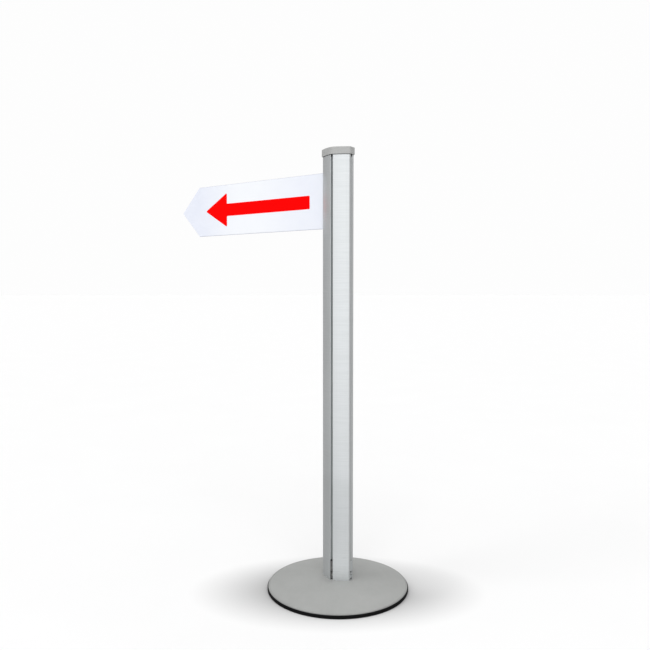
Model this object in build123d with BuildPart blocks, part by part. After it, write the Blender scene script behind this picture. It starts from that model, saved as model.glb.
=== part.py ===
from build123d import *
import math
import os

os.makedirs("parts", exist_ok=True)

# Directional sign post, millimetres. The origin is the centre of the base on the floor, +Z up.
# The sign panel points along -X and the post's long sides face -Y and +Y.

# ---- base -----------------------------------------------------------------
ring_wall_r = 176.4  # rubber wall between its ribs
rib_r = 1.1  # half-round ribs, so the ring measures 355 across
rib_levels = (1.9, 4.4, 6.9)
ring_h = 8.5
ring_bore_r = 173.0  # the wall stands round the weight
pad_bore_r = 149.0  # the floor pad lies under the weight's edge
pad_t = 3.0

foot_z = 28.6  # top of the cover's flat centre, where the post stands
flat_r = 46.0  # flat centre of the cover
cover_r = 175.5
cover_t = 1.5
cover_hole_r = 23.0
dome_edge_r = 171.4  # the dome runs from the flat centre to here
dome_edge_z = 11.6
lip_r = 2.6  # rolled lip round the edge
crease_z = 11.3  # fine crease between the dome and the lip

weight_r = 172.5
weight_gap = 0.6  # under the dome
weight_edge_r = 169.0
weight_edge_z = 8.0
recess_r = 24.0  # for the bolt head, from below
recess_z = 15.0

bolt_r = 6.0
bolt_top = 66.0
head_af = 19.0
head_z = (2.5, 10.0)
lock_washer_z = (10.0, 12.5)
bolt_washer_z = (12.5, 15.0)
pin_r = 3.0
pin_x = 13.0
pin_z = (19.5, 39.5)

# ---- post -----------------------------------------------------------------
half_l = 40.2  # flat narrow ends
half_w = 28.8  # crest of the long sides
end_half_w = 8.8  # half the width of a narrow end
bulge = 2.5  # each long side is two shallow arcs that meet at the slot
corner_r = 4.0
crest_r = 14.0
wall = 2.2
profile_top = 1095.8

mouth = 3.1  # half the slot's mouth
cavity = 6.6  # half the slot's width behind its lips
lip_y = 25.6  # inside of the lips, long sides
floor_y = 18.8  # slot floor, long sides
lip_x = 37.8  # inside of the lips, narrow ends
floor_x = 31.0  # slot floor, narrow ends
slot_wall = 2.2
mouth_r = 0.8
notch = 3.7  # half the wider mouth at the foot, from the base up to the trims

spigot_x = 28.5
spigot_y = 16.3
spigot_r = 6.0
spigot_top = 88.3
pocket_z = 50.0  # the cored pockets start here

key_z = (32.6, 76.0)
key_groove_z = (46.2, 50.0)  # deep groove across each block, down to a thin web
key_web = 2.0
screw_z = 40.5
screw_r = 3.0

trim_z = (79.6, 1076.0)
trim_half = 6.3
trim_t = 2.5

# ---- cap ------------------------------------------------------------------
cap_z = 1082.5
cap_top = 1100.0
cap_grow = 2.4  # overhang past the profile
cap_gap = 0.3
roof_z = 1096.1
leg_z = 1072.0

# ---- sign -----------------------------------------------------------------
blade_z = (905.4, 1044.6)
root_x = -33.5
shoulder_x = -479.0
tip_x = -546.5
core_half = 1.5
film_t = 0.3
edge_bevel = 0.9
spine_z = (897.4, 1052.6)
spine_half = 6.2
spine_neck = 2.8
groove_half = 1.82
rivet_x = -35.6
rivet_r = 1.2
rivet_levels = (920.0, 975.0, 1030.0)
lock_r = 2.0
lock_out = 37.2  # outer end of the lock screws
lock_levels = (901.4, 1048.6)

decal_t = 0.25
arrow_tip = -452.0
arrow_neck = -372.0
arrow_tail = -86.0
arrow_half_h = 47.0
shaft_half_h = 17.0


# The outline: on each long side two shallow arcs that meet in a blunt crest, and flat ends.
chord_l = math.hypot(half_l, half_w - end_half_w)
side_r = chord_l**2 / (8 * bulge) + bulge / 2
side_nx = (half_w - end_half_w) / chord_l  # outward across the chord
side_ny = half_l / chord_l
side_cx = half_l / 2 - side_nx * (side_r - bulge)  # the arc's centre
side_cy = (half_w + end_half_w) / 2 - side_ny * (side_r - bulge)


def lens(grow):
    """End position, crest, corner height and a point inside the arc, for the outline grown by this much."""
    r = side_r + grow
    x = half_l + grow
    crest = side_cy + math.sqrt(r * r - side_cx * side_cx)
    y = side_cy + math.sqrt(r * r - (x - side_cx) ** 2)
    return x, crest, y, side_cx + side_nx * r, side_cy + side_ny * r


# The dome's centre of curvature stands above the flat centre's edge.
dome_run = dome_edge_r - flat_r
dome_drop = foot_z - dome_edge_z
dome_r = (dome_run**2 + dome_drop**2) / (2 * dome_drop)
dome_cz = foot_z - dome_r


def dome_at(r, inset=0.0):
    return dome_cz + math.sqrt((dome_r - inset) ** 2 - (r - flat_r) ** 2)


mid_r = (flat_r + dome_edge_r) / 2

# ---- rubber ring ------------------------------------------------------------
with BuildPart() as rubber_ring:
    with BuildSketch(Plane.XZ):
        with BuildLine():
            Polyline(
                (pad_bore_r, 0),
                (ring_wall_r, 0),
                (ring_wall_r, ring_h - 0.6),
                (ring_wall_r - 0.6, ring_h),
                (ring_bore_r, ring_h),
                (ring_bore_r, pad_t),
                (pad_bore_r, pad_t),
                close=True,
            )
        make_face()
        with Locations(*[(ring_wall_r, z) for z in rib_levels]):
            Circle(rib_r)
    revolve(axis=Axis.Z)
rubber_ring.part.label = "rubber_ring"

# ---- cast-iron weight -------------------------------------------------------
with BuildPart() as base_weight:
    with BuildSketch(Plane.XZ):
        with BuildLine():
            w0 = Polyline(
                (recess_r, pad_t),
                (weight_r, pad_t),
                (weight_r, weight_edge_z),
                (weight_edge_r, dome_at(weight_edge_r, cover_t + weight_gap)),
            )
            w1 = ThreePointArc(
                w0 @ 1,
                (mid_r, dome_at(mid_r, cover_t + weight_gap)),
                (flat_r, dome_at(flat_r, cover_t + weight_gap)),
            )
            Polyline(
                w1 @ 1,
                (flat_r - 2, foot_z - cover_t),
                (0, foot_z - cover_t),
                (0, recess_z),
                (recess_r, recess_z),
                (recess_r, pad_t),
            )
        make_face()
    revolve(axis=Axis.Z)
    # bolt hole through the boss
    with BuildSketch(Plane.XY.offset(recess_z)):
        Circle(bolt_r + 0.5)
    extrude(amount=foot_z, mode=Mode.SUBTRACT)
    # blind dowel holes
    with BuildSketch(Plane.XY.offset(pin_z[0] - 0.5)):
        with Locations((-pin_x, 0), (pin_x, 0)):
            Circle(pin_r + 0.03)
    extrude(amount=foot_z, mode=Mode.SUBTRACT)
base_weight.part.label = "base_weight"

# ---- pressed cover ----------------------------------------------------------
with BuildPart() as base_cover:
    with BuildSketch(Plane.XZ):
        with BuildLine():
            c0 = Line((cover_hole_r, foot_z), (flat_r, foot_z))
            c1 = ThreePointArc(
                c0 @ 1, (mid_r, dome_at(mid_r)), (dome_edge_r, dome_at(dome_edge_r))
            )
            lip_x0 = cover_r - lip_r
            lip_z0 = 9.2
            c2 = Polyline(
                c1 @ 1,
                (dome_edge_r + 0.6, crease_z),
                (lip_x0 - 0.4, lip_z0 + lip_r - 0.06),
                (lip_x0, lip_z0 + lip_r),
            )
            q = math.sqrt(0.5)
            c3 = ThreePointArc(
                c2 @ 1,
                (lip_x0 + lip_r * q, lip_z0 + lip_r * q),
                (cover_r, lip_z0),
            )
            c4 = Polyline(
                c3 @ 1,
                (cover_r, ring_h),
                (cover_r - cover_t, ring_h),
                (cover_r - cover_t, lip_z0),
            )
            inner = lip_r - cover_t
            c5 = ThreePointArc(
                c4 @ 1,
                (lip_x0 + inner * q, lip_z0 + inner * q),
                (lip_x0, lip_z0 + inner),
            )
            c6 = Line(c5 @ 1, (dome_edge_r, dome_at(dome_edge_r, cover_t)))
            c7 = ThreePointArc(
                c6 @ 1,
                (mid_r, dome_at(mid_r, cover_t)),
                (flat_r, foot_z - cover_t),
            )
            Polyline(
                c7 @ 1, (cover_hole_r, foot_z - cover_t), (cover_hole_r, foot_z)
            )
        make_face()
    revolve(axis=Axis.Z)
base_cover.part.label = "base_cover"

# ---- bolt and washers -------------------------------------------------------
with BuildPart() as base_bolt:
    with BuildSketch(Plane.XY.offset(head_z[0])):
        RegularPolygon(head_af / 2, 6, major_radius=False)
    extrude(amount=head_z[1] - head_z[0])
    chamfer(base_bolt.faces().sort_by(Axis.Z)[0].edges(), 0.8)
    with BuildSketch(Plane.XY.offset(head_z[1])):
        Circle(bolt_r)
    extrude(amount=bolt_top - head_z[1])
    chamfer(base_bolt.faces().sort_by(Axis.Z)[-1].edges(), 1.2)
base_bolt.part.label = "base_bolt"

with BuildPart() as lock_washer:
    with BuildSketch(Plane.XY.offset(lock_washer_z[0])):
        Circle(10.5)
        Circle(bolt_r + 0.2, mode=Mode.SUBTRACT)
        with Locations((8.5, 0)):
            Rectangle(8, 1.6, mode=Mode.SUBTRACT)
    extrude(amount=lock_washer_z[1] - lock_washer_z[0])
lock_washer.part.label = "lock_washer"

with BuildPart() as bolt_washer:
    with BuildSketch(Plane.XY.offset(bolt_washer_z[0])):
        Circle(18.5)
        Circle(bolt_r + 0.5, mode=Mode.SUBTRACT)
    extrude(amount=bolt_washer_z[1] - bolt_washer_z[0])
    chamfer(bolt_washer.edges().filter_by(GeomType.CIRCLE).group_by(SortBy.RADIUS)[-1], 0.4)
bolt_washer.part.label = "bolt_washer"

with BuildPart() as anti_rotation_pins:
    with BuildSketch(Plane.XY.offset(pin_z[0])):
        with Locations((-pin_x, 0), (pin_x, 0)):
            Circle(pin_r)
    extrude(amount=pin_z[1] - pin_z[0])
    chamfer(anti_rotation_pins.edges().group_by(Axis.Z)[-1], 0.5)
    chamfer(anti_rotation_pins.edges().group_by(Axis.Z)[0], 0.5)
anti_rotation_pins.part.label = "anti_rotation_pins"

# ---- foot spigot ------------------------------------------------------------
with BuildPart() as foot_spigot:
    with BuildSketch(Plane.XY.offset(foot_z)):
        RectangleRounded(2 * spigot_x, 2 * spigot_y, spigot_r)
    extrude(amount=spigot_top - foot_z)
    chamfer(foot_spigot.faces().sort_by(Axis.Z)[-1].edges(), 2)
    # round pilot through the cover's hole, standing on the weight's boss
    with BuildSketch(Plane.XY.offset(foot_z - cover_t)):
        Circle(cover_hole_r - 0.3)
        Rectangle(80, 2 * spigot_y, mode=Mode.INTERSECT)
    extrude(amount=cover_t)
    # tapped bore for the bolt, and the dowel holes
    with BuildSketch(Plane.XY.offset(foot_z - cover_t)):
        Circle(bolt_r + 0.05)
    extrude(amount=bolt_top + 6 - foot_z, mode=Mode.SUBTRACT)
    with BuildSketch(Plane.XY.offset(foot_z - cover_t)):
        with Locations((-pin_x, 0), (pin_x, 0)):
            Circle(pin_r + 0.03)
    extrude(amount=pin_z[1] + 0.6 - (foot_z - cover_t), mode=Mode.SUBTRACT)
    # cored pockets from the top
    with BuildSketch(Plane.XY.offset(pocket_z)):
        with Locations((-17.5, 0), (17.5, 0)):
            RectangleRounded(11, 22, 2.5)
    extrude(amount=spigot_top - pocket_z, mode=Mode.SUBTRACT)
foot_spigot.part.label = "foot_spigot"

# ---- aluminium profile ------------------------------------------------------
ox, ocrest, oy, omx, omy = lens(0)
ix, icrest, iy, imx, imy = lens(-wall)
with BuildPart() as post_profile:
    with BuildSketch(Plane.XY.offset(foot_z)) as outer_sketch:
        with BuildLine():
            ThreePointArc((-ox, -oy), (-omx, -omy), (0, -ocrest))
            ThreePointArc((0, -ocrest), (omx, -omy), (ox, -oy))
            Line((ox, -oy), (ox, oy))
            ThreePointArc((ox, oy), (omx, omy), (0, ocrest))
            ThreePointArc((0, ocrest), (-omx, omy), (-ox, oy))
            Line((-ox, oy), (-ox, -oy))
        make_face()
        fillet(outer_sketch.vertices().filter_by(lambda v: abs(v.X) > 1), corner_r)
    extrude(amount=profile_top - foot_z)
    # central chamber: the outline one wall inwards, less the four slot boxes
    with BuildSketch(Plane.XY.offset(foot_z)) as inner_sketch:
        with BuildLine():
            ThreePointArc((-ix, -iy), (-imx, -imy), (0, -icrest))
            ThreePointArc((0, -icrest), (imx, -imy), (ix, -iy))
            Line((ix, -iy), (ix, iy))
            ThreePointArc((ix, iy), (imx, imy), (0, icrest))
            ThreePointArc((0, icrest), (-imx, imy), (-ix, iy))
            Line((-ix, iy), (-ix, -iy))
        make_face()
        fillet(inner_sketch.vertices().filter_by(lambda v: abs(v.X) > 1), corner_r - wall)
        box_w = 2 * (cavity + slot_wall)
        with Locations((0, -(floor_y - slot_wall + 10))):
            Rectangle(box_w, 20, mode=Mode.SUBTRACT)
        with Locations((0, floor_y - slot_wall + 10)):
            Rectangle(box_w, 20, mode=Mode.SUBTRACT)
        with Locations((-(floor_x - slot_wall + 10), 0)):
            Rectangle(20, box_w, mode=Mode.SUBTRACT)
        with Locations((floor_x - slot_wall + 10, 0)):
            Rectangle(20, box_w, mode=Mode.SUBTRACT)
    extrude(amount=profile_top - foot_z, mode=Mode.SUBTRACT)
    # the four T-slots: a mouth and a wider cavity behind its lips
    with BuildSketch(Plane.XY.offset(foot_z)):
        for s in (-1, 1):
            with Locations((0, s * (floor_y + lip_y) / 2)):
                Rectangle(2 * cavity, lip_y - floor_y)
            with Locations((0, s * (lip_y + 2.5))):
                Rectangle(2 * mouth, 6)
            with Locations((s * (floor_x + lip_x) / 2, 0)):
                Rectangle(lip_x - floor_x, 2 * cavity)
            with Locations((s * (lip_x + 2.5), 0)):
                Rectangle(6, 2 * mouth)
    extrude(amount=profile_top - foot_z, mode=Mode.SUBTRACT)
    # rounded mouth edges
    lips = (
        post_profile.edges()
        .filter_by(Axis.Z)
        .filter_by(
            lambda e: (
                abs(abs(e.center().X) - mouth) < 0.05 and abs(e.center().Y) > lip_y + 0.8
            )
            or (
                abs(abs(e.center().Y) - mouth) < 0.05 and abs(e.center().X) > lip_x + 0.8
            )
        )
    )
    fillet(lips, mouth_r)
    # holes in the slot floors for the foot's grub screws
    with BuildSketch(Plane.XZ.offset(-floor_y - 1)):
        with Locations((0, screw_z)):
            Circle(screw_r + 0.3)
    extrude(amount=2 * floor_y + 2, mode=Mode.SUBTRACT)
    with BuildSketch(Plane.YZ.offset(-floor_x - 1)):
        with Locations((0, screw_z)):
            Circle(screw_r + 0.3)
    extrude(amount=2 * floor_x + 2, mode=Mode.SUBTRACT)
    # the mouths are milled wider at the foot
    with BuildSketch(Plane.XY.offset(foot_z)):
        for s in (-1, 1):
            with Locations((0, s * (lip_y + 2.3))):
                Rectangle(2 * notch, 5)
            with Locations((s * (lip_x + 2.3), 0)):
                Rectangle(5, 2 * notch)
    extrude(amount=trim_z[0] - foot_z, mode=Mode.SUBTRACT)
post_profile.part.label = "post_profile"

# ---- T-blocks in the slots at the foot -------------------------------------
key_gap = 0.3
with BuildPart() as slot_keys:
    with BuildSketch(Plane.XY.offset(key_z[0])):
        for s in (-1, 1):
            with Locations((0, s * (floor_y + lip_y) / 2)):
                Rectangle(2 * (cavity - key_gap), lip_y - floor_y - 0.4)
            with Locations((0, s * (lip_y + 0.4))):
                Rectangle(2 * (notch - 0.2), 2.4)
            with Locations((s * (floor_x + lip_x) / 2, 0)):
                Rectangle(lip_x - floor_x - 0.4, 2 * (cavity - key_gap))
            with Locations((s * (lip_x + 0.6), 0)):
                Rectangle(2.0, 2 * (notch - 0.2))
    extrude(amount=key_z[1] - key_z[0])
    with BuildSketch(Plane.XZ.offset(-40)):
        with Locations((0, screw_z)):
            Circle(screw_r + 0.04)
    extrude(amount=80, mode=Mode.SUBTRACT)
    with BuildSketch(Plane.YZ.offset(-45)):
        with Locations((0, screw_z)):
            Circle(screw_r + 0.04)
    extrude(amount=90, mode=Mode.SUBTRACT)
    # the groove across each block
    with BuildSketch(Plane.XY.offset(key_groove_z[0])):
        for s in (-1, 1):
            with Locations((0, s * (floor_y + 0.2 + key_web + 5))):
                Rectangle(2 * cavity, 10)
            with Locations((s * (floor_x + 0.2 + key_web + 5), 0)):
                Rectangle(10, 2 * cavity)
    extrude(amount=key_groove_z[1] - key_groove_z[0], mode=Mode.SUBTRACT)
slot_keys.part.label = "slot_keys"

# ---- grub screws with hexagon sockets --------------------------------------
screw_out_y = 25.0
screw_out_x = 36.9
with BuildPart() as key_grub_screws:
    for s in (-1, 1):
        with BuildSketch(Plane(origin=(0, s * screw_out_y, screw_z), z_dir=(0, -s, 0))):
            Circle(screw_r)
        extrude(amount=screw_out_y - spigot_y - 0.05)
        with BuildSketch(Plane(origin=(0, s * screw_out_y, screw_z), z_dir=(0, -s, 0))):
            RegularPolygon(1.5, 6, major_radius=False)
        extrude(amount=3, mode=Mode.SUBTRACT)
        with BuildSketch(Plane(origin=(s * screw_out_x, 0, screw_z), z_dir=(-s, 0, 0))):
            Circle(screw_r)
        extrude(amount=screw_out_x - spigot_x - 0.05)
        with BuildSketch(Plane(origin=(s * screw_out_x, 0, screw_z), z_dir=(-s, 0, 0))):
            RegularPolygon(1.5, 6, major_radius=False)
        extrude(amount=3, mode=Mode.SUBTRACT)
key_grub_screws.part.label = "key_grub_screws"

# ---- slot trims: a face strip behind the lips and two legs to the slot floor --
trim_leg = (4.2, 5.4)

with BuildPart() as slot_infill_front:
    with BuildSketch(Plane.XY.offset(trim_z[0])):
        with Locations((0, -(lip_y - 0.1 - trim_t / 2))):
            Rectangle(2 * trim_half, trim_t)
        leg_c = (trim_leg[0] + trim_leg[1]) / 2
        leg_y0, leg_y1 = floor_y + 0.1, lip_y - 0.1 - trim_t + 0.2
        with Locations(
            (-leg_c, -(leg_y0 + leg_y1) / 2), (leg_c, -(leg_y0 + leg_y1) / 2)
        ):
            Rectangle(trim_leg[1] - trim_leg[0], leg_y1 - leg_y0)
    extrude(amount=trim_z[1] - trim_z[0])
slot_infill_front.part.label = "slot_infill_front"

with BuildPart() as slot_infill_back:
    with BuildSketch(Plane.XY.offset(trim_z[0])):
        with Locations((0, lip_y - 0.1 - trim_t / 2)):
            Rectangle(2 * trim_half, trim_t)
        with Locations(
            (-leg_c, (leg_y0 + leg_y1) / 2), (leg_c, (leg_y0 + leg_y1) / 2)
        ):
            Rectangle(trim_leg[1] - trim_leg[0], leg_y1 - leg_y0)
    extrude(amount=trim_z[1] - trim_z[0])
slot_infill_back.part.label = "slot_infill_back"

# this trim has a tongue that fills the mouth level with the narrow end, and it goes down to the block
tongue_out = half_l - 0.1
right_z = key_z[1] + 0.3
with BuildPart() as slot_infill_right:
    with BuildSketch(Plane.XY.offset(right_z)):
        with Locations((lip_x - 0.1 - trim_t / 2, 0)):
            Rectangle(trim_t, 2 * trim_half)
        with Locations(((lip_x - 0.3 + tongue_out) / 2, 0)):
            Rectangle(tongue_out - lip_x + 0.3, 2 * (mouth - 0.15))
        leg_x0, leg_x1 = floor_x + 0.1, lip_x - 0.1 - trim_t + 0.2
        with Locations(
            ((leg_x0 + leg_x1) / 2, -leg_c), ((leg_x0 + leg_x1) / 2, leg_c)
        ):
            Rectangle(leg_x1 - leg_x0, trim_leg[1] - trim_leg[0])
    extrude(amount=trim_z[1] - right_z)
slot_infill_right.part.label = "slot_infill_right"

# ---- top cap ----------------------------------------------------------------
kx, kcrest, ky, kmx, kmy = lens(cap_grow)
jx, jcrest, jy, jmx, jmy = lens(cap_gap)
with BuildPart() as top_cap:
    with BuildSketch(Plane.XY.offset(cap_z)) as cap_sketch:
        with BuildLine():
            ThreePointArc((-kx, -ky), (-kmx, -kmy), (0, -kcrest))
            ThreePointArc((0, -kcrest), (kmx, -kmy), (kx, -ky))
            Line((kx, -ky), (kx, ky))
            ThreePointArc((kx, ky), (kmx, kmy), (0, kcrest))
            ThreePointArc((0, kcrest), (-kmx, kmy), (-kx, ky))
            Line((-kx, ky), (-kx, -ky))
        make_face()
        fillet(cap_sketch.vertices().filter_by(lambda v: abs(v.X) < 1), crest_r + 8)
        fillet(cap_sketch.vertices().filter_by(lambda v: abs(v.X) > 40), 3.0)
    extrude(amount=cap_top - cap_z)
    fillet(top_cap.faces().sort_by(Axis.Z)[-1].edges(), 1.3)
    fillet(top_cap.faces().sort_by(Axis.Z)[0].edges(), 0.5)
    # the skirt's inside, a small gap round the profile
    with BuildSketch(Plane.XY.offset(cap_z)) as skirt_sketch:
        with BuildLine():
            ThreePointArc((-jx, -jy), (-jmx, -jmy), (0, -jcrest))
            ThreePointArc((0, -jcrest), (jmx, -jmy), (jx, -jy))
            Line((jx, -jy), (jx, jy))
            ThreePointArc((jx, jy), (jmx, jmy), (0, jcrest))
            ThreePointArc((0, jcrest), (-jmx, jmy), (-jx, jy))
            Line((-jx, jy), (-jx, -jy))
        make_face()
        fillet(skirt_sketch.vertices().filter_by(lambda v: abs(v.X) < 1), crest_r)
        fillet(skirt_sketch.vertices().filter_by(lambda v: abs(v.X) > 39), corner_r)
    extrude(amount=roof_z - cap_z, mode=Mode.SUBTRACT)
    # four plug legs into the profile's chamber
    with BuildSketch(Plane.XY.offset(leg_z)):
        RectangleRounded(2 * spigot_x, 2 * spigot_y, spigot_r)
        RectangleRounded(
            2 * spigot_x - 4.4, 2 * spigot_y - 4.4, spigot_r - 2.2, mode=Mode.SUBTRACT
        )
        Rectangle(26, 60, mode=Mode.SUBTRACT)
        Rectangle(80, 14, mode=Mode.SUBTRACT)
    extrude(amount=roof_z + 0.5 - leg_z)
    chamfer(
        top_cap.faces().filter_by(Axis.Z).group_by(Axis.Z)[0].edges(), 0.6
    )
top_cap.part.label = "top_cap"

# ---- sign panel -------------------------------------------------------------
blade_mid = (blade_z[0] + blade_z[1]) / 2
with BuildPart() as sign_blade:
    with BuildSketch(Plane.XZ.offset(-core_half)):
        with BuildLine():
            Polyline(
                (root_x, blade_z[0]),
                (shoulder_x, blade_z[0]),
                (tip_x, blade_mid),
                (shoulder_x, blade_z[1]),
                (root_x, blade_z[1]),
                close=True,
            )
        panel = make_face()
        fillet(panel.vertices().sort_by(Axis.X)[0:3], 1.5)
    extrude(amount=2 * core_half)
    # the worked outer edges are bevelled on both faces
    flanks = sign_blade.faces().filter_by(Axis.Y).sort_by(Axis.Y)
    rims = (flanks[0].edges() + flanks[-1].edges()).filter_by(
        lambda e: e.center().X < root_x - 1
    )
    chamfer(rims, edge_bevel)
    # rivet holes in the root
    with BuildSketch(Plane.XZ.offset(-10)):
        with Locations(*[(rivet_x, z) for z in rivet_levels]):
            Circle(rivet_r + 0.03)
    extrude(amount=20, mode=Mode.SUBTRACT)
sign_blade.part.label = "sign_blade"

# the films stop one bevel short of the panel's outer edge, all round
slant = math.hypot(tip_x - shoulder_x, blade_mid - blade_z[0])
film_in = edge_bevel + 0.1
film_tip = tip_x + film_in * slant / (blade_mid - blade_z[0])
film_shoulder = (
    shoulder_x
    + film_in
    * (slant - abs(tip_x - shoulder_x))
    / (blade_mid - blade_z[0])
)
film_outline = [
    (root_x, blade_z[0] + film_in),
    (film_shoulder, blade_z[0] + film_in),
    (film_tip, blade_mid),
    (film_shoulder, blade_z[1] - film_in),
    (root_x, blade_z[1] - film_in),
]

with BuildPart() as face_film_front:
    with BuildSketch(Plane.XZ.offset(core_half)):
        with BuildLine():
            Polyline(*film_outline, close=True)
        film = make_face()
        fillet(film.vertices().sort_by(Axis.X)[0:3], 1.0)
        with Locations(*[(rivet_x, z) for z in rivet_levels]):
            Circle(rivet_r + 0.03, mode=Mode.SUBTRACT)
    extrude(amount=film_t)
face_film_front.part.label = "face_film_front"

with BuildPart() as face_film_rear:
    with BuildSketch(Plane.XZ.offset(-core_half - film_t)):
        with BuildLine():
            Polyline(*film_outline, close=True)
        film = make_face()
        fillet(film.vertices().sort_by(Axis.X)[0:3], 1.0)
        with Locations(*[(rivet_x, z) for z in rivet_levels]):
            Circle(rivet_r + 0.03, mode=Mode.SUBTRACT)
    extrude(amount=film_t)
face_film_rear.part.label = "face_film_rear"

# ---- plain direction arrows, cut film on both faces --------------------------
arrow_outline = [
    (arrow_tip, blade_mid),
    (arrow_neck, blade_mid - arrow_half_h),
    (arrow_neck, blade_mid - shaft_half_h),
    (arrow_tail, blade_mid - shaft_half_h),
    (arrow_tail, blade_mid + shaft_half_h),
    (arrow_neck, blade_mid + shaft_half_h),
    (arrow_neck, blade_mid + arrow_half_h),
]

with BuildPart() as arrow_decal_front:
    with BuildSketch(Plane.XZ.offset(core_half + film_t)):
        with BuildLine():
            Polyline(*arrow_outline, close=True)
        arrow = make_face()
        fillet(arrow.vertices(), 2.5)
    extrude(amount=decal_t)
arrow_decal_front.part.label = "arrow_decal_front"

with BuildPart() as arrow_decal_rear:
    with BuildSketch(Plane.XZ.offset(-core_half - film_t - decal_t)):
        with BuildLine():
            Polyline(*arrow_outline, close=True)
        arrow = make_face()
        fillet(arrow.vertices(), 2.5)
    extrude(amount=decal_t)
arrow_decal_rear.part.label = "arrow_decal_rear"

# ---- T-slide that holds the panel's root in the open end slot -----------------
spine_in = floor_x + 0.4
spine_foot_out = lip_x - 0.4
spine_out = half_l - 0.2
with BuildPart() as blade_spine:
    with BuildSketch(Plane.XY.offset(spine_z[0])):
        with Locations((-(spine_in + spine_foot_out) / 2, 0)):
            Rectangle(spine_foot_out - spine_in, 2 * spine_half)
        with Locations((-(spine_foot_out + spine_out) / 2, 0)):
            Rectangle(spine_out - spine_foot_out, 2 * spine_neck)
    extrude(amount=spine_z[1] - spine_z[0])
    # groove for the panel's root, shorter than the slide
    with BuildSketch(Plane.XY.offset(blade_z[0])):
        with Locations(((root_x - 50) / 2, 0)):
            Rectangle(50 + root_x, 2 * groove_half)
    extrude(amount=blade_z[1] - blade_z[0], mode=Mode.SUBTRACT)
    # rivet holes, countersunk from both sides
    with BuildSketch(Plane.XZ.offset(-10)):
        with Locations(*[(rivet_x, z) for z in rivet_levels]):
            Circle(rivet_r + 0.03)
    extrude(amount=20, mode=Mode.SUBTRACT)
    # tapped holes for the lock screws, above and below the panel
    with BuildSketch(Plane.YZ.offset(-45)):
        with Locations(*[(0, z) for z in lock_levels]):
            Circle(lock_r + 0.04)
    extrude(amount=20, mode=Mode.SUBTRACT)
blade_spine.part.label = "blade_spine"

with BuildPart() as spine_rivets:
    with BuildSketch(Plane.XZ.offset(-spine_half)):
        with Locations(*[(rivet_x, z) for z in rivet_levels]):
            Circle(rivet_r)
    extrude(amount=2 * spine_half)
    chamfer(spine_rivets.edges().filter_by(GeomType.CIRCLE), 0.2)
spine_rivets.part.label = "spine_rivets"

with BuildPart() as spine_lock_screws:
    with BuildSketch(Plane.YZ.offset(-lock_out)):
        with Locations(*[(0, z) for z in lock_levels]):
            Circle(lock_r)
    extrude(amount=lock_out - floor_x - 0.3)
    with BuildSketch(Plane.YZ.offset(-lock_out)):
        with Locations(*[(0, z) for z in lock_levels]):
            RegularPolygon(1.0, 6, major_radius=False)
    extrude(amount=2.2, mode=Mode.SUBTRACT)
spine_lock_screws.part.label = "spine_lock_screws"

pieces = [
    rubber_ring,
    base_weight,
    base_cover,
    base_bolt,
    lock_washer,
    bolt_washer,
    anti_rotation_pins,
    foot_spigot,
    post_profile,
    slot_keys,
    key_grub_screws,
    slot_infill_front,
    slot_infill_back,
    slot_infill_right,
    top_cap,
    sign_blade,
    face_film_front,
    face_film_rear,
    arrow_decal_front,
    arrow_decal_rear,
    blade_spine,
    spine_rivets,
    spine_lock_screws,
]
for piece in pieces:
    export_step(piece.part, f"parts/{piece.part.label}.step")
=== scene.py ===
import math

import bpy
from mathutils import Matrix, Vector

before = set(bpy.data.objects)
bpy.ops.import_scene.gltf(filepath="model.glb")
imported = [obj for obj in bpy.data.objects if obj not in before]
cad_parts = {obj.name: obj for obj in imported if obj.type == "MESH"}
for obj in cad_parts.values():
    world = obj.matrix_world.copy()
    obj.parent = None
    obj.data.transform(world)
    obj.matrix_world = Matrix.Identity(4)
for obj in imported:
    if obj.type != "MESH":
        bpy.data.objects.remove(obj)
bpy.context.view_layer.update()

# ---------------------------------------------------------------- node helpers


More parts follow.
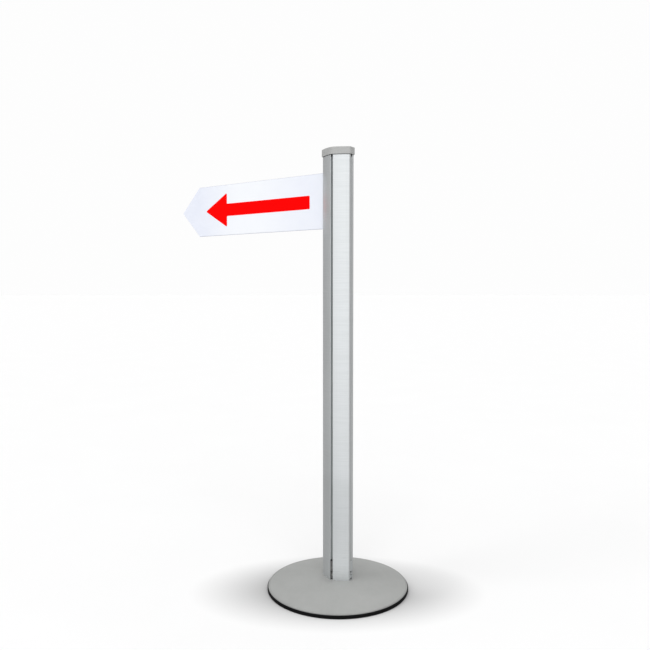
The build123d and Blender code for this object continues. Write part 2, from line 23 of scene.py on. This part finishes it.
class Look:
    """One procedural material: object coordinates in metres go in, one Principled surface comes out."""

    def __init__(self, name):
        self.mat = bpy.data.materials.new(name)
        self.mat.use_nodes = True
        self.tree = self.mat.node_tree
        self.tree.nodes.clear()
        self.surface = self.node("ShaderNodeBsdfPrincipled")
        out = self.node("ShaderNodeOutputMaterial")
        self.link(self.surface.outputs["BSDF"], out.inputs["Surface"])
        self.coord = self.node("ShaderNodeTexCoord").outputs["Object"]
        self.part = self.node("ShaderNodeSeparateXYZ")
        self.link(self.coord, self.part.inputs[0])

    def node(self, kind):
        return self.tree.nodes.new(kind)

    def link(self, a, b):
        self.tree.links.new(a, b)

    def put(self, socket, value):
        if isinstance(value, bpy.types.NodeSocket):
            self.link(value, socket)
        else:
            socket.default_value = value

    @property
    def x(self):
        return self.part.outputs["X"]

    @property
    def y(self):
        return self.part.outputs["Y"]

    @property
    def z(self):
        return self.part.outputs["Z"]

    def math(self, op, a, b=0.0, c=0.0, clamp=False):
        n = self.node("ShaderNodeMath")
        n.operation = op
        n.use_clamp = clamp
        for k, v in enumerate((a, b, c)):
            self.put(n.inputs[k], v)
        return n.outputs[0]

    def add(self, *terms):
        """Sum of (weight, socket) pairs."""
        total = 0.0
        for weight, socket in terms:
            total = self.math("MULTIPLY_ADD", socket, weight, total)
        return total

    def scaled(self, scale, shift=0.0):
        n = self.node("ShaderNodeMapping")
        self.link(self.coord, n.inputs["Vector"])
        n.inputs["Scale"].default_value = scale if isinstance(scale, tuple) else (scale,) * 3
        n.inputs["Location"].default_value = (shift, shift * 0.7, shift * 1.3)
        return n.outputs[0]

    def noise(self, scale, detail=2.0, rough=0.5, bend=0.0, shift=0.0):
        n = self.node("ShaderNodeTexNoise")
        n.inputs["Scale"].default_value = 1.0
        n.inputs["Detail"].default_value = detail
        n.inputs["Roughness"].default_value = rough
        n.inputs["Distortion"].default_value = bend
        self.link(self.scaled(scale, shift), n.inputs["Vector"])
        return n.outputs["Fac"]

    def cells(self, scale, feature="F1", jitter=1.0, out="Distance", shift=0.0):
        n = self.node("ShaderNodeTexVoronoi")
        n.feature = feature
        n.inputs["Scale"].default_value = 1.0
        n.inputs["Randomness"].default_value = jitter
        self.link(self.scaled(scale, shift), n.inputs["Vector"])
        return n.outputs[out]

    def one(self, color):
        """One channel of a colour, such as a cell's random colour."""
        n = self.node("ShaderNodeSeparateColor")
        self.link(color, n.inputs[0])
        return n.outputs[0]

    def ramp(self, value, lo, hi, to_lo=0.0, to_hi=1.0, smooth=True):
        n = self.node("ShaderNodeMapRange")
        n.interpolation_type = "SMOOTHSTEP" if smooth else "LINEAR"
        n.clamp = True
        self.put(n.inputs["Value"], value)
        n.inputs["From Min"].default_value = lo
        n.inputs["From Max"].default_value = hi
        n.inputs["To Min"].default_value = to_lo
        n.inputs["To Max"].default_value = to_hi
        return n.outputs["Result"]

    def mix(self, factor, a, b):
        n = self.node("ShaderNodeMix")
        n.data_type = "RGBA"
        self.put(n.inputs["Factor"], factor)
        for key, v in (("A", a), ("B", b)):
            s = [i for i in n.inputs if i.name == key and i.type == "RGBA"][0]
            self.put(s, (*v, 1.0) if isinstance(v, tuple) else v)
        return [o for o in n.outputs if o.type == "RGBA"][0]

    def bump(self, *layers):
        """Layers of (height socket, height in metres), stacked."""
        normal = None
        for height, depth in layers:
            n = self.node("ShaderNodeBump")
            n.inputs["Strength"].default_value = 1.0
            n.inputs["Distance"].default_value = depth
            self.link(height, n.inputs["Height"])
            if normal is not None:
                self.link(normal, n.inputs["Normal"])
            normal = n.outputs["Normal"]
        self.link(normal, self.surface.inputs["Normal"])
        return normal

    def set(self, **values):
        names = {
            "color": "Base Color",
            "rough": "Roughness",
            "metal": "Metallic",
            "ior": "IOR",
            "coat": "Coat Weight",
            "coat_rough": "Coat Roughness",
            "aniso": "Anisotropic",
            "aniso_turn": "Anisotropic Rotation",
            "specular": "Specular IOR Level",
            "sheen": "Sheen Weight",
            "sheen_rough": "Sheen Roughness",
        }
        for k, v in values.items():
            s = self.surface.inputs[names[k]]
            if k == "color" and isinstance(v, tuple):
                v = (*v, 1.0)
            self.put(s, v)

    def radius(self):
        """Distance from the post's axis."""
        return self.math(
            "SQRT",
            self.math("MULTIPLY_ADD", self.x, self.x, self.math("MULTIPLY", self.y, self.y)),
        )

    def band(self, value, centre, half, soft):
        """One in a band about centre, fading over soft."""
        off = self.math("ABSOLUTE", self.math("SUBTRACT", value, centre))
        return self.ramp(off, half, half + soft, 1.0, 0.0)


# ------------------------------------------------------------------- materials


def anodised():
    """Satin natural anodised extrusion: long die lines, a fine brushed grain, slight clouding and handling marks."""
    k = Look("anodised_extrusion")
    cloud = k.noise((11, 11, 4.5), 3, 0.55)
    die = k.noise((760, 760, 1.3), 3, 0.6)
    grain = k.noise((2900, 2900, 26), 2, 0.5, shift=3.1)
    rubs = k.ramp(k.noise((55, 55, 240), 2, 0.6, 0.4, shift=7.7), 0.60, 0.78)
    low = k.ramp(k.z, 0.03, 0.40, 1.0, 0.25)
    marks = k.math("MULTIPLY", rubs, low)
    tone = k.add((0.42, cloud), (0.36, die), (0.22, grain))
    base = k.mix(k.ramp(tone, 0.34, 0.66, smooth=False), (0.750, 0.770, 0.780), (0.830, 0.845, 0.853))
    mottle = k.ramp(k.noise((13, 13, 430), 3, 0.6, shift=12.0), 0.36, 0.64)
    base = k.mix(k.math("MULTIPLY", mottle, 0.15), base, (0.62, 0.645, 0.645))
    base = k.mix(k.math("MULTIPLY", marks, 0.22), base, (0.62, 0.64, 0.65))
    # below about 0.3 m the colour steps a little darker
    dull = k.ramp(k.add((1.0, k.z), (0.05, cloud)), 0.285, 0.325, 1.0, 0.0)
    base = k.mix(k.math("MULTIPLY", dull, 0.24), base, (0.575, 0.595, 0.60))
    # painted shade: a fine dark line under the cap's edge, where the skirt's shadow falls
    cap_shadow_line = k.band(k.z, 1.0818, 0.0007, 0.0006)
    base = k.mix(k.math("MULTIPLY", cap_shadow_line, 0.76), base, (0.10, 0.105, 0.11))
    rough = k.add((0.12, cloud), (0.07, grain), (0.06, marks), (0.03, mottle))
    k.set(color=base, metal=1.0, rough=k.math("ADD", rough, 0.405), aniso=0.25)
    tangent = k.node("ShaderNodeTangent")
    tangent.direction_type = "RADIAL"
    tangent.axis = "Z"
    k.link(tangent.outputs[0], k.surface.inputs["Tangent"])
    k.bump((die, 0.000012), (grain, 0.000004), (marks, 0.000006))
    return k.mat


def cover_coat():
    """Silver-grey textured powder coat over pressed steel."""
    k = Look("cover_powder_coat")
    r = k.radius()
    cloud = k.noise(5.5, 3, 0.5)
    patch = k.noise(31, 3, 0.6, 0.3, shift=2.3)
    peel = k.noise(620, 2, 0.55, shift=5.0)
    grit = k.noise(1900, 2, 0.6, shift=9.0)
    fleck = k.cells(2400, out="Color", shift=1.0)
    spark = k.ramp(k.one(fleck), 0.80, 0.95)
    scuff = k.ramp(k.noise((34, 260, 40), 2, 0.5, 0.6, shift=4.2), 0.66, 0.80)
    scuff2 = k.ramp(k.noise((240, 30, 40), 2, 0.5, 0.5, shift=6.6), 0.68, 0.82)
    tone = k.add((0.5, cloud), (0.3, patch), (0.2, grit))
    base = k.mix(k.ramp(tone, 0.36, 0.64, smooth=False), (0.325, 0.331, 0.323), (0.373, 0.379, 0.370))
    base = k.mix(k.math("MULTIPLY", spark, 0.16), base, (0.60, 0.60, 0.60))
    marks = k.math("MULTIPLY", k.math("MAXIMUM", scuff, scuff2), 0.12)
    base = k.mix(marks, base, (0.50, 0.50, 0.50))
    # painted shade: a fine dark ring along the crease above the lip
    crease = k.band(r, 0.1721, 0.0003, 0.0007)
    base = k.mix(k.math("MULTIPLY", crease, 0.40), base, (0.20, 0.20, 0.20))
    # painted shade: the rolled lip is darker than the dome, where it turns down away from the light
    lip = k.ramp(r, 0.1732, 0.1754)
    base = k.mix(k.math("MULTIPLY", lip, 0.42), base, (0.18, 0.18, 0.18))
    # painted shade: the dome darkens round the post's foot
    foot = k.ramp(k.math("SUBTRACT", r, 0.0), 0.030, 0.060, 1.0, 0.0)
    base = k.mix(k.math("MULTIPLY", foot, 0.20), base, (0.27, 0.27, 0.265))
    rough = k.add((0.10, cloud), (0.08, grit))
    k.set(color=base, metal=0.0, rough=k.math("ADD", rough, 0.44), specular=0.42)
    k.bump((peel, 0.00005), (grit, 0.000018))
    return k.mat


def rubber():
    """Black ribbed rubber edge, with dust in the grooves and polished rib tips."""
    k = Look("ribbed_rubber")
    r = k.radius()
    dust = k.noise((70, 70, 130), 4, 0.62, 0.5)
    cloud = k.noise(16, 2, 0.5, shift=3.0)
    pore = k.noise(1500, 3, 0.6, shift=8.0)
    tip = k.ramp(r, 0.1766, 0.1775)
    groove = k.ramp(r, 0.1762, 0.1766, 1.0, 0.0)
    low = k.ramp(k.z, 0.0, 0.0035, 1.0, 0.2)
    base = k.mix(cloud, (0.0030, 0.0030, 0.0032), (0.0055, 0.0055, 0.0058))
    base = k.mix(k.math("MULTIPLY", tip, 0.45), base, (0.012, 0.012, 0.0125))
    dirt = k.math("MULTIPLY", k.ramp(dust, 0.46, 0.74), k.math("MULTIPLY", groove, low))
    base = k.mix(k.math("MULTIPLY", dirt, 0.14), base, (0.05, 0.048, 0.045))
    rough = k.add((0.20, dust), (-0.16, tip))
    k.set(color=base, metal=0.0, rough=k.math("ADD", rough, 0.58), specular=0.06)
    k.bump((pore, 0.00003), (dust, 0.00005))
    return k.mat


def cap_plastic():
    """Grey moulded cap with a fine spark-eroded texture."""
    k = Look("moulded_cap")
    cloud = k.noise(26, 3, 0.55)
    flow = k.noise((18, 60, 140), 2, 0.5, 0.7, shift=2.0)
    skin = k.noise(1700, 3, 0.62, shift=4.0)
    pits = k.cells(1250, shift=1.5)
    handle = k.ramp(k.noise((120, 120, 420), 2, 0.55, 0.4, shift=6.0), 0.63, 0.80)
    tone = k.add((0.45, cloud), (0.25, flow), (0.30, skin))
    base = k.mix(k.ramp(tone, 0.36, 0.64, smooth=False), (0.388, 0.392, 0.386), (0.434, 0.438, 0.431))
    base = k.mix(k.math("MULTIPLY", handle, 0.16), base, (0.52, 0.52, 0.515))
    # painted highlight: a thin paler band along the cap's top edge
    top = k.band(k.z, 1.0992, 0.0003, 0.0008)
    base = k.mix(k.math("MULTIPLY", top, 0.30), base, (0.54, 0.54, 0.53))
    rough = k.add((0.12, cloud), (0.10, skin), (-0.08, handle))
    k.set(color=base, metal=0.0, rough=k.math("ADD", rough, 0.33), specular=0.95)
    k.bump((skin, 0.00004), (pits, 0.00002))
    return k.mat


def slot_trim(name, dark, light):
    """Matt extruded trim: long draw lines, chalky bloom and dust."""
    k = Look(name)
    draw = k.noise((1500, 1500, 4), 3, 0.6)
    bloom = k.noise((60, 60, 9), 3, 0.6, shift=3.0)
    skin = k.noise(1900, 2, 0.6, shift=5.0)
    dust = k.ramp(k.noise((90, 90, 60), 3, 0.6, shift=8.0), 0.52, 0.75)
    tone = k.add((0.45, draw), (0.55, bloom))
    base = k.mix(k.ramp(tone, 0.34, 0.66, smooth=False), dark, light)
    base = k.mix(k.math("MULTIPLY", dust, 0.18), base, (0.30, 0.30, 0.29))
    k.set(color=base, metal=0.0, rough=k.math("ADD", k.add((0.18, bloom)), 0.52), specular=0.4)
    k.bump((draw, 0.00002), (skin, 0.00001))
    return k.mat


def face_film():
    """Satin white printable film, laid with the faintest ripple."""
    k = Look("white_face_film")
    cloud = k.noise((14, 30, 22), 3, 0.5)
    ripple = k.noise((46, 5, 70), 2, 0.5, 0.6, shift=2.0)
    tooth = k.noise(1400, 2, 0.6, shift=4.0)
    wipe = k.ramp(k.noise((30, 10, 170), 2, 0.6, 0.8, shift=7.0), 0.62, 0.82)
    tone = k.add((0.75, cloud), (0.25, ripple))
    base = k.mix(k.ramp(tone, 0.34, 0.66, smooth=False), (0.795, 0.828, 0.930), (0.830, 0.858, 0.946))
    base = k.mix(k.math("MULTIPLY", wipe, 0.25), base, (0.878, 0.898, 0.952))
    # palest in the middle, darker towards the tip and towards the root
    middle_paler = k.math("MULTIPLY", k.ramp(k.x, -0.50, -0.32), k.ramp(k.x, -0.28, -0.08, 0.85, 0.30))
    base = k.mix(middle_paler, base, (0.925, 0.945, 0.975))
    rough = k.add((0.10, cloud), (0.06, tooth), (-0.05, wipe))
    k.set(color=base, metal=0.0, rough=k.math("ADD", rough, 0.33), specular=0.45)
    k.bump((ripple, 0.00012), (tooth, 0.000006))
    return k.mat


def panel_core():
    """Cut edge of the foamed sheet: fine cells and saw marks."""
    k = Look("panel_core")
    cell = k.cells(2600)
    saw = k.noise((2200, 90, 2200), 2, 0.5, shift=2.0)
    cloud = k.noise(24, 2, 0.5, shift=5.0)
    soil = k.ramp(k.noise(70, 3, 0.6, shift=8.0), 0.5, 0.8)
    # painted shade: the cut edge's colour is set well below the white sheet's, for the shade on the down-facing edge
    base = k.mix(cloud, (0.50, 0.52, 0.60), (0.58, 0.60, 0.68))
    base = k.mix(k.math("MULTIPLY", soil, 0.20), base, (0.40, 0.41, 0.46))
    k.set(color=base, metal=0.0, rough=k.math("ADD", k.add((0.15, saw)), 0.55), specular=0.4)
    k.bump((cell, 0.00003), (saw, 0.00003))
    return k.mat


def red_film():
    """Red cut film for the plain arrow."""
    k = Look("red_cut_film")
    cloud = k.noise((20, 30, 30), 2, 0.5)
    tooth = k.noise(1500, 2, 0.6, shift=3.0)
    ripple = k.noise((60, 5, 80), 2, 0.5, 0.5, shift=6.0)
    base = k.mix(cloud, (0.94, 0.0005, 0.0006), (0.99, 0.0010, 0.0010))
    k.set(color=base, metal=0.0, rough=k.math("ADD", k.add((0.12, cloud), (0.06, tooth)), 0.42), specular=0.03)
    k.bump((ripple, 0.00008), (tooth, 0.000006))
    return k.mat


def cast_iron():
    """Rough-cast iron weight under thin black paint, rust starting at high spots."""
    k = Look("cast_iron")
    sand = k.noise(420, 4, 0.68)
    lump = k.noise(60, 3, 0.6, shift=3.0)
    rust = k.ramp(k.add((0.6, k.noise(38, 4, 0.7, 0.4, shift=6.0)), (0.4, sand)), 0.55, 0.72)
    base = k.mix(sand, (0.045, 0.045, 0.047), (0.085, 0.084, 0.083))
    base = k.mix(k.math("MULTIPLY", rust, 0.45), base, (0.16, 0.070, 0.032))
    k.set(color=base, metal=0.25, rough=k.math("ADD", k.add((0.25, sand)), 0.52), specular=0.5)
    k.bump((lump, 0.00035), (sand, 0.00018))
    return k.mat


def zinc_steel():
    """Zinc-plated fastener: bright with a faint yellow and blue bloom, turned lines."""
    k = Look("zinc_plated_steel")
    bloom = k.noise(130, 2, 0.5, 0.6)
    turned = k.noise((2600, 2600, 2600), 2, 0.5, shift=2.0)
    wear = k.ramp(k.noise(300, 3, 0.6, shift=5.0), 0.55, 0.75)
    base = k.mix(k.ramp(bloom, 0.35, 0.65), (0.62, 0.64, 0.68), (0.70, 0.69, 0.60))
    base = k.mix(k.math("MULTIPLY", wear, 0.35), base, (0.48, 0.49, 0.50))
    k.set(color=base, metal=1.0, rough=k.math("ADD", k.add((0.14, wear), (0.10, turned)), 0.22))
    k.bump((turned, 0.00001), (wear, 0.00001))
    return k.mat


def cast_aluminium():
    """Die-cast block: shot-blasted skin with faint flow swirls."""
    k = Look("cast_aluminium")
    sand = k.noise(900, 3, 0.65)
    flow = k.noise((70, 70, 40), 3, 0.6, 1.1, shift=3.0)
    base = k.mix(flow, (0.44, 0.45, 0.46), (0.56, 0.57, 0.575))
    k.set(color=base, metal=0.9, rough=k.math("ADD", k.add((0.20, sand)), 0.42))
    k.bump((flow, 0.00008), (sand, 0.00006))
    return k.mat


def key_steel():
    """Blackened steel blocks: worn grey where they rub."""
    k = Look("blackened_steel")
    grind = k.noise((90, 90, 1500), 3, 0.6)
    cloud = k.noise(90, 3, 0.6, shift=4.0)
    worn = k.ramp(cloud, 0.45, 0.68)
    lit_end_block = k.ramp(k.x, 0.0360, 0.0366)  # painted light: the block in the near narrow end is painted pale, a lit copy of the blackened steel
    base = k.mix(grind, (0.125, 0.125, 0.125), (0.20, 0.20, 0.198))
    base = k.mix(k.math("MULTIPLY", worn, 0.45), base, (0.34, 0.34, 0.335))
    base = k.mix(lit_end_block, base, (0.70, 0.72, 0.73))
    k.set(color=base, metal=0.85, rough=k.math("ADD", k.add((0.18, cloud), (0.10, grind)), 0.34))
    k.bump((grind, 0.00003), (cloud, 0.00003))
    return k.mat


LOOKS = {
    "anodised": anodised(),
    "cover": cover_coat(),
    "rubber": rubber(),
    "cap": cap_plastic(),
    "trim": slot_trim("slot_trim_grey", (0.150, 0.163, 0.166), (0.215, 0.230, 0.233)),
    # painted light: a paler copy of the grey trim, for the near-end trim that catches the light from the right
    "trim_lit_copy": slot_trim("slot_trim_lit_copy", (0.385, 0.400, 0.405), (0.435, 0.450, 0.455)),
    "film": face_film(),
    "core": panel_core(),
    "red": red_film(),
    "iron": cast_iron(),
    "zinc": zinc_steel(),
    "cast_al": cast_aluminium(),
    "key": key_steel(),
}

FINISH = {
    "rubber_ring": "rubber",
    "base_weight": "iron",
    "base_cover": "cover",
    "base_bolt": "zinc",
    "lock_washer": "zinc",
    "bolt_washer": "zinc",
    "anti_rotation_pins": "zinc",
    "foot_spigot": "cast_al",
    "post_profile": "anodised",
    "slot_keys": "key",
    "key_grub_screws": "zinc",
    "slot_infill_front": "trim",
    "slot_infill_back": "trim",
    # painted light: the near-end trim takes the paler, lit copy of the trim
    "slot_infill_right": "trim_lit_copy",
    "top_cap": "cap",
    "sign_blade": "core",
    "face_film_front": "film",
    "face_film_rear": "film",
    "arrow_decal_front": "red",
    "arrow_decal_rear": "red",
    "blade_spine": "cast_al",
    "spine_rivets": "zinc",
    "spine_lock_screws": "zinc",
}

for name, finish in FINISH.items():
    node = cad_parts[name]
    mat = LOOKS[finish]
    if not node.data.materials:
        node.data.materials.append(mat)
    for slot in node.material_slots:
        slot.material = mat

# ----------------------------------------------------------------------- floor


def make_floor():
    rings = [0.0, 0.25, 0.6, 1.5, 4.0, 12.0, 40.0, 150.0]
    seg = 64
    verts = [(0.0, 0.0, 0.0)]
    faces = []
    for r in rings[1:]:
        for s in range(seg):
            a = 2 * math.pi * s / seg
            verts.append((r * math.cos(a), r * math.sin(a), 0.0))
    for s in range(seg):
        faces.append((0, 1 + s, 1 + (s + 1) % seg))
    for k in range(len(rings) - 2):
        a0 = 1 + k * seg
        b0 = a0 + seg
        for s in range(seg):
            t = (s + 1) % seg
            faces.append((a0 + s, b0 + s, b0 + t, a0 + t))
    mesh = bpy.data.meshes.new("studio_floor")
    mesh.from_pydata(verts, [], faces)
    mesh.update()
    ob = bpy.data.objects.new("studio_floor", mesh)
    bpy.context.scene.collection.objects.link(ob)
    k = Look("pale_floor")
    # painted shadow: a broad soft oval shade round the base, as under two wide studio lights
    turn = math.radians(35.35)
    across = k.add((math.cos(turn), k.x), (math.sin(turn), k.y))
    along = k.add((-math.sin(turn), k.x), (math.cos(turn), k.y))
    # the painted shadow is lifted to the right and behind, where the real shadow of the left light falls as well
    right = k.math("DIVIDE", k.math("SUBTRACT", across, 0.18), 0.14)
    behind = k.math("DIVIDE", k.math("SUBTRACT", along, 0.06), 0.14)
    near = k.math("MULTIPLY_ADD", right, right, k.math("MULTIPLY", behind, behind))
    near = k.math("SUBTRACT", 1.0, near, clamp=True)
    lift = k.math("MULTIPLY", k.math("MULTIPLY", near, near), 0.42)
    across = k.math("DIVIDE", across, 0.375)
    along = k.math("DIVIDE", k.math("ADD", along, 0.0154), 0.230)
    reach = k.math("SQRT", k.math("MULTIPLY_ADD", across, across, k.math("MULTIPLY", along, along)))
    inside = k.math("SUBTRACT", 1.0, reach, clamp=True)
    shade = k.math("MULTIPLY", k.math("POWER", inside, 1.28), 1.05, clamp=True)
    shade = k.math("MULTIPLY", shade, k.math("SUBTRACT", 1.0, lift))
    pale = k.noise(3.0, 2, 0.5)
    base = k.mix(pale, (0.905, 0.905, 0.905), (0.92, 0.92, 0.92))
    base = k.mix(shade, base, (0.0, 0.0, 0.001))
    k.set(color=base, rough=0.9, specular=0.0)
    mesh.materials.append(k.mat)
    ob.visible_glossy = False
    return ob


floor = make_floor()

# ----------------------------------------------------------------------- light

# Azimuths below are in degrees from the -Y side of the object towards +X.
FRONT = 1.515
GLOSS = (
    (-180, 0.47),
    (-155, 0.50),
    (-130, 0.335),
    (-115, 0.27),
    (-62, 0.265),
    (-42, 0.345),
    (-20, 0.59),
    (-6, 0.76),
    (12, 0.885),
    (29, 0.93),
    (44, 0.84),
    (62, 0.65),
    (80, 0.51),
    (100, 0.40),
    (125, 0.32),
    (148, 0.20),
    (165, 0.24),
)


def make_world():
    world = bpy.data.worlds.new("studio")
    bpy.context.scene.world = world
    world.use_nodes = True
    tree = world.node_tree
    tree.nodes.clear()

    def node(kind, **sockets):
        n = tree.nodes.new(kind)
        for key, v in sockets.items():
            s = n.inputs[int(key[1:])] if key[1:].isdigit() else n.inputs[key]
            if isinstance(v, bpy.types.NodeSocket):
                tree.links.new(v, s)
            else:
                s.default_value = v
        return n

    def calc(op, a, b=0.0, c=0.0):
        n = node("ShaderNodeMath", i0=a, i1=b, i2=c)
        n.operation = op
        return n.outputs[0]

    coord = node("ShaderNodeTexCoord").outputs["Generated"]
    part = node("ShaderNodeSeparateXYZ", i0=coord)
    x, y, z = part.outputs
    turn = calc("ARCTAN2", x, calc("MULTIPLY", y, -1.0))
    around = calc("MULTIPLY_ADD", turn, 1 / (2 * math.pi), 0.5)
    ramp = node("ShaderNodeValToRGB", i0=around)
    ramp.color_ramp.interpolation = "EASE"
    marks = ramp.color_ramp.elements
    while len(marks) > 1:
        marks.remove(marks[-1])
    marks[0].position = 0.0
    for k, (az, v) in enumerate(GLOSS + ((180, GLOSS[0][1]),)):
        m = marks[0] if k == 0 else marks.new((az + 180) / 360)
        m.position = (az + 180) / 360
        m.color = (v, v, v, 1.0)
    side = calc("MULTIPLY", ramp.outputs["Color"], FRONT)
    # the front half darkens below the horizon, where it shows the floor of the room
    drop = node("ShaderNodeMapRange", Value=z)
    drop.interpolation_type = "SMOOTHSTEP"
    for key, v in (("From Min", -0.52), ("From Max", -0.20), ("To Min", 0.15), ("To Max", 1.0)):
        drop.inputs[key].default_value = v
    ahead = node("ShaderNodeMapRange", Value=calc("COSINE", calc("SUBTRACT", turn, math.radians(20))))
    ahead.interpolation_type = "SMOOTHSTEP"
    ahead.inputs["From Min"].default_value = 0.35
    ahead.inputs["From Max"].default_value = 0.85
    fade = calc("MULTIPLY_ADD", calc("SUBTRACT", drop.outputs[0], 1.0), ahead.outputs[0], 1.0)
    gloss_value = calc("MULTIPLY", side, fade)
    cool = node("ShaderNodeMix")
    cool.data_type = "RGBA"
    tree.links.new(ahead.outputs[0], cool.inputs["Factor"])
    rgba = [i for i in cool.inputs if i.type == "RGBA"]
    rgba[0].default_value = (1.0, 1.0, 0.995, 1.0)
    rgba[1].default_value = (0.982, 0.994, 1.0, 1.0)
    cool_out = [o for o in cool.outputs if o.type == "RGBA"][0]
    gloss = node("ShaderNodeBackground", Color=cool_out, Strength=gloss_value)

    # soft ambient for matt surfaces: a little more from the front than from behind
    amb = node("ShaderNodeMapRange", Value=calc("COSINE", calc("SUBTRACT", turn, math.radians(-8))))
    for key, v in (("From Min", -1.0), ("From Max", 1.0), ("To Min", 0.28), ("To Max", 0.46)):
        amb.inputs[key].default_value = v
    white = (1.0, 1.0, 1.0, 1.0)
    matt = node("ShaderNodeBackground", Color=white, Strength=amb.outputs[0])
    seen = node("ShaderNodeBackground", Color=white, Strength=0.985)
    path = node("ShaderNodeLightPath")
    inner = node("ShaderNodeMixShader", i0=path.outputs["Is Glossy Ray"], i1=matt.outputs[0], i2=gloss.outputs[0])
    outer = node("ShaderNodeMixShader", i0=path.outputs["Is Camera Ray"], i1=inner.outputs[0], i2=seen.outputs[0])
    out = node("ShaderNodeOutputWorld")
    tree.links.new(outer.outputs[0], out.inputs["Surface"])
    world.cycles.sampling_method = "NONE"


def soft_light(name, azimuth, elevation, level, spread):
    """A far, broad light; level is the radiance it gives a white matt surface that faces it."""
    light = bpy.data.lights.new(name, "SUN")
    light.energy = level * math.pi
    light.angle = math.radians(spread)
    ob = bpy.data.objects.new(name, light)
    a, e = math.radians(azimuth), math.radians(elevation)
    back = Vector((math.sin(a) * math.cos(e), -math.cos(a) * math.cos(e), math.sin(e)))
    ob.location = back * 4.0
    ob.rotation_mode = "QUATERNION"
    ob.rotation_quaternion = back.to_track_quat("Z", "Y")
    ob.visible_glossy = False
    bpy.context.scene.collection.objects.link(ob)
    return ob


make_world()
soft_light("soft_left", -36, 36, 0.170, 28)
soft_light("soft_key", 38, 38, 0.210, 45)
soft_light("soft_side", 80, 38, 0.050, 45)
soft_light("soft_top", 35, 82, 0.432, 70)
soft_light("soft_fill", 195, 22, 0.085, 60)

# ---------------------------------------------------------------------- camera

cam_data = bpy.data.cameras.new("camera")
cam_data.sensor_width = 36.0
cam_data.lens = 38.9
cam_data.clip_start = 0.05
cam_data.clip_end = 400.0
cam = bpy.data.objects.new("camera", cam_data)
cam.location = (0.9855, -1.4443, 0.7500)
cam.rotation_euler = (math.radians(87.235), 0.0, math.radians(35.365))
bpy.context.scene.collection.objects.link(cam)
bpy.context.scene.camera = cam

view = bpy.context.scene.view_settings
view.view_transform = "Standard"
view.look = "None"
view.exposure = 0.0
view.gamma = 1.0
